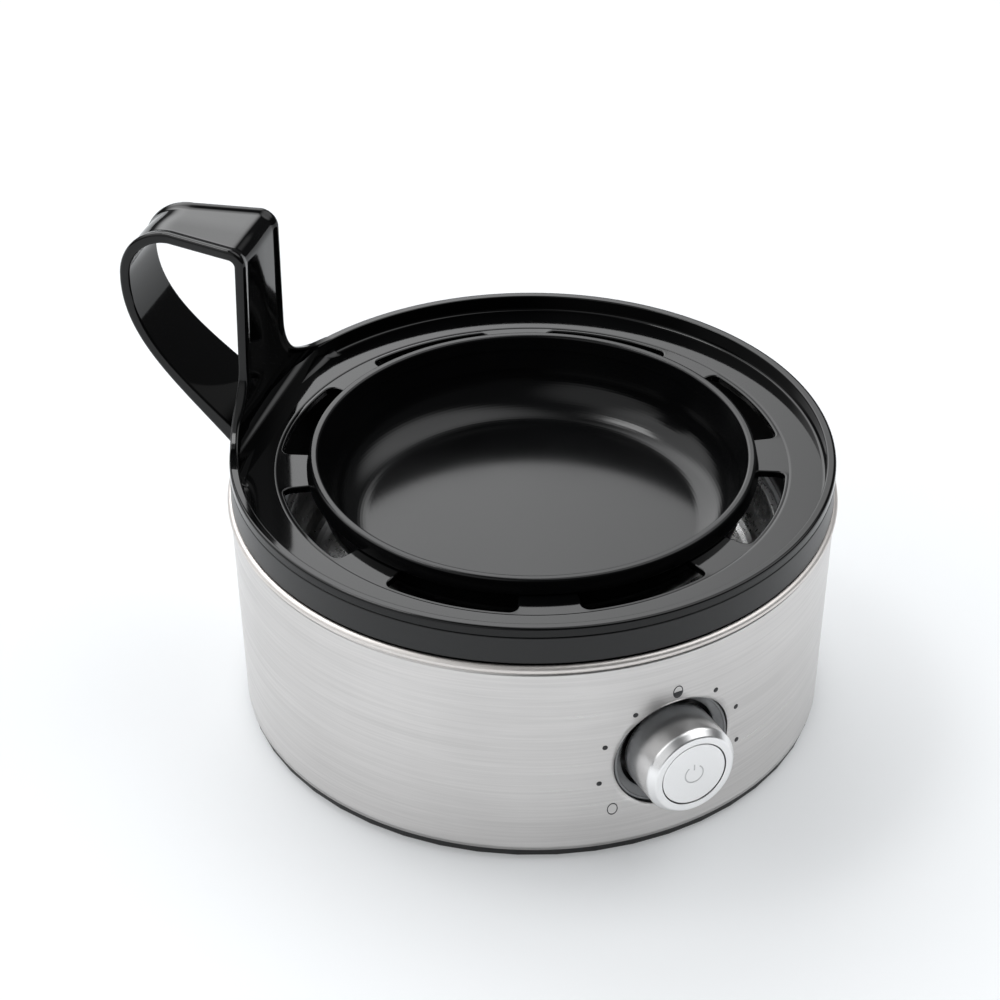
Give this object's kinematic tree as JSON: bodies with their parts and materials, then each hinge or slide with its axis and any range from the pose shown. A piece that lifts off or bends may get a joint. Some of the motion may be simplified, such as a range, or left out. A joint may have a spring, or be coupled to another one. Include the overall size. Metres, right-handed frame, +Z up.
{
  "type": "countertop egg boiler",
  "caption": "Round countertop egg boiler with a brushed steel body, a dial with a button, a lift-out tray ring with a looped strap handle and a poaching bowl.",
  "frame": {"origin": "on the floor under the feet, in the middle of the whole outline seen from above", "axes": "+Z up, the dial faces -Y, the handle of the tray ring stands behind and to the left"},
  "size_m": [0.1868, 0.1978, 0.1434],
  "materials": {
    "brushed_steel": "brushed around the body",
    "gloss_black": "high gloss",
    "bowl_coating": "smooth dark coating",
    "matt_black": "fine matt grain",
    "bright_aluminium": "pressed, bright",
    "satin_aluminium": "fine satin with a polished edge",
    "clear_plastic": "clear, unlit",
    "dark_metal": "plain metal",
    "silicone": "smooth",
    "rubber": "matt",
    "board_green": "board lacquer",
    "lead_insulation": "smooth insulation"
  },
  "bodies": {
    "housing": {"steel_shell": "brushed_steel", "base_cover": "matt_black", "upper_collar": "gloss_black", "heating_dish": "bright_aluminium", "dish_seal": "silicone", "heat_plate": "bright_aluminium", "heating_element": "dark_metal", "clamp_bar": "dark_metal", "clamp_nut": "dark_metal", "cord_grommet": "rubber", "terminal_block": "matt_black", "heater_lead_1": "lead_insulation", "heater_lead_2": "lead_insulation", "thermostat": "dark_metal", "thermal_fuse": "dark_metal", "light_ring": "clear_plastic", "dial_encoder": "matt_black", "control_board": "board_green", "push_switch": "matt_black", "transformer": "dark_metal", "relay": "matt_black", "capacitor": "matt_black", "buzzer": "matt_black", "foot_1": "rubber", "foot_2": "rubber", "foot_3": "rubber", "foot_4": "rubber", "tie_screw_1": "dark_metal", "tie_screw_2": "dark_metal", "tie_screw_3": "dark_metal", "tie_screw_4": "dark_metal"},
    "dial": {"dial_knob": "satin_aluminium", "dial_shaft": "dark_metal"},
    "button": {"power_button": "satin_aluminium", "switch_plunger": "silicone"},
    "tray": {"tray_ring": "gloss_black"},
    "bowl": {"poaching_bowl": "bowl_coating"}
  },
  "joints": [
    {"name": "dial_turn", "type": "hinge", "parent": "housing", "child": "dial", "pos_m": [0.00229, -0.09, 0.0335], "axis": [0, -1, 0], "range_deg": [-131, 131]},
    {"name": "button_press", "type": "slide", "parent": "dial", "child": "button", "axis": [0, 1, 0], "range_m": [0, 0.0012], "stiffness_N_per_m": 900},
    {"name": "tray_lift", "type": "slide", "parent": "housing", "child": "tray", "axis": [0, 0, 1], "range_m": [0, 0.045]},
    {"name": "bowl_lift", "type": "slide", "parent": "tray", "child": "bowl", "axis": [0, 0, 1], "range_m": [0, 0.04]}
  ]
}
